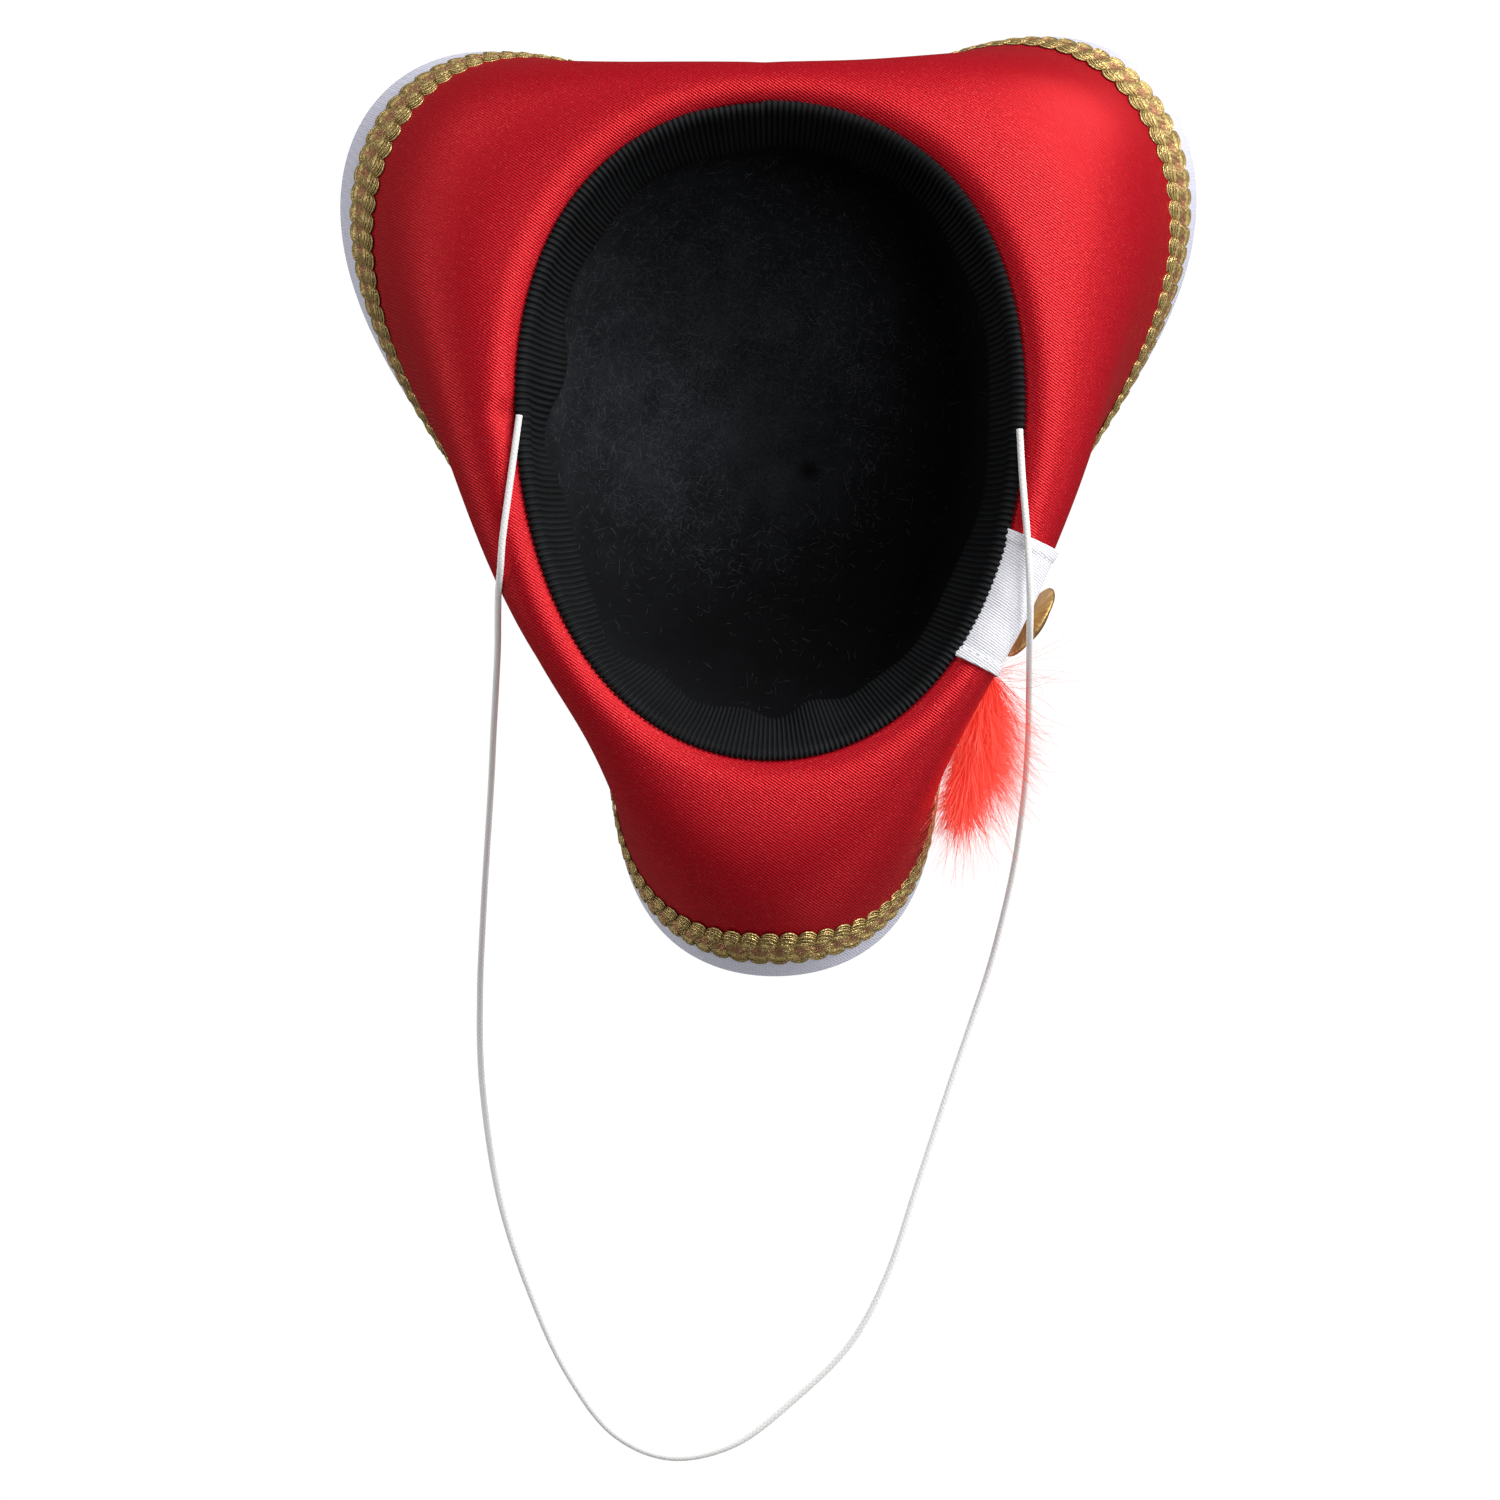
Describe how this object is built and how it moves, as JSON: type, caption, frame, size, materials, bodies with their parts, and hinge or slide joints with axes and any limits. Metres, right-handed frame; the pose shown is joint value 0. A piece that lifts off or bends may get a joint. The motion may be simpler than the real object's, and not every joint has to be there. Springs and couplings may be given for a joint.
{
  "type": "tricorn hat",
  "caption": "Three-cornered costume hat lying upside down on its crown, with braid-edged satin brim, strap, domed button, feather plume and elastic chin cord.",
  "frame": {"origin": "middle of the flat top of the crown, on which the hat rests upside down", "axes": "+Z out of the head opening, +Y to the back of the hat, +X to the wearer's right as the hat lies"},
  "size_m": [0.2839, 0.477, 0.1114],
  "materials": {
    "felt_black": "brushed wool felt, matt, with blue-grey fuzz",
    "satin_red": "red duchesse satin over a felt body, soft sheen",
    "satin_white": "cool white satin, soft sheen",
    "braid_gold": "metallic gimp braid with scalloped edges",
    "grosgrain_black": "ribbed black ribbon with an overcast edge",
    "brass": "polished, with fine radial streaks",
    "feather_coral": "soft coral-red marabou barbs",
    "elastic_white": "white covered round elastic"
  },
  "bodies": {
    "root": {"crown": "felt_black", "brim_cover": "satin_red", "brim_lining": "satin_white", "edge_braid": "braid_gold", "sweatband": "grosgrain_black", "strap": "satin_white", "button": "brass", "plume": "feather_coral", "chin_elastic": "elastic_white"}
  },
  "joints": []
}
